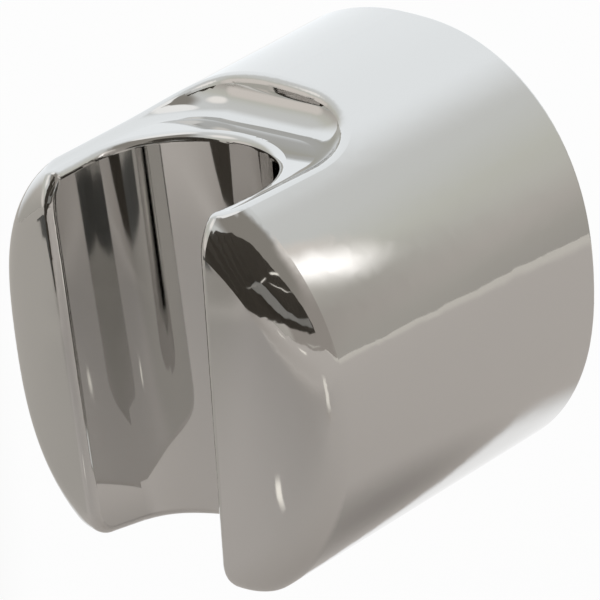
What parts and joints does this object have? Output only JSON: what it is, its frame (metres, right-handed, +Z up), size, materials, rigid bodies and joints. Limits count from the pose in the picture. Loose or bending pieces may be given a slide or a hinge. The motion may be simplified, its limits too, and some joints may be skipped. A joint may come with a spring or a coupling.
{
  "type": "hand shower holder",
  "caption": "Fixed wall holder for a hand shower: a short polished oval barrel that ends in a forked cradle with an upright tapered bore, an open hose slot and a scooped flat seat.",
  "frame": {"origin": "on the wall, in the middle of the bracket's back face, where the barrel's axis meets the wall", "axes": "+Y into the wall, -Y out into the room along the barrel's axis, +Z up along the bore, +X to the right of someone who looks at the wall"},
  "size_m": [0.054, 0.051, 0.0586],
  "materials": {
    "polished_chrome": "mirror polished chrome plating",
    "bracket_brass": "bare turned brass",
    "screw_steel": "plain stainless steel"
  },
  "bodies": {
    "root": {"holder_body": "polished_chrome", "wall_bracket": "bracket_brass", "set_screw": "screw_steel"}
  },
  "joints": []
}
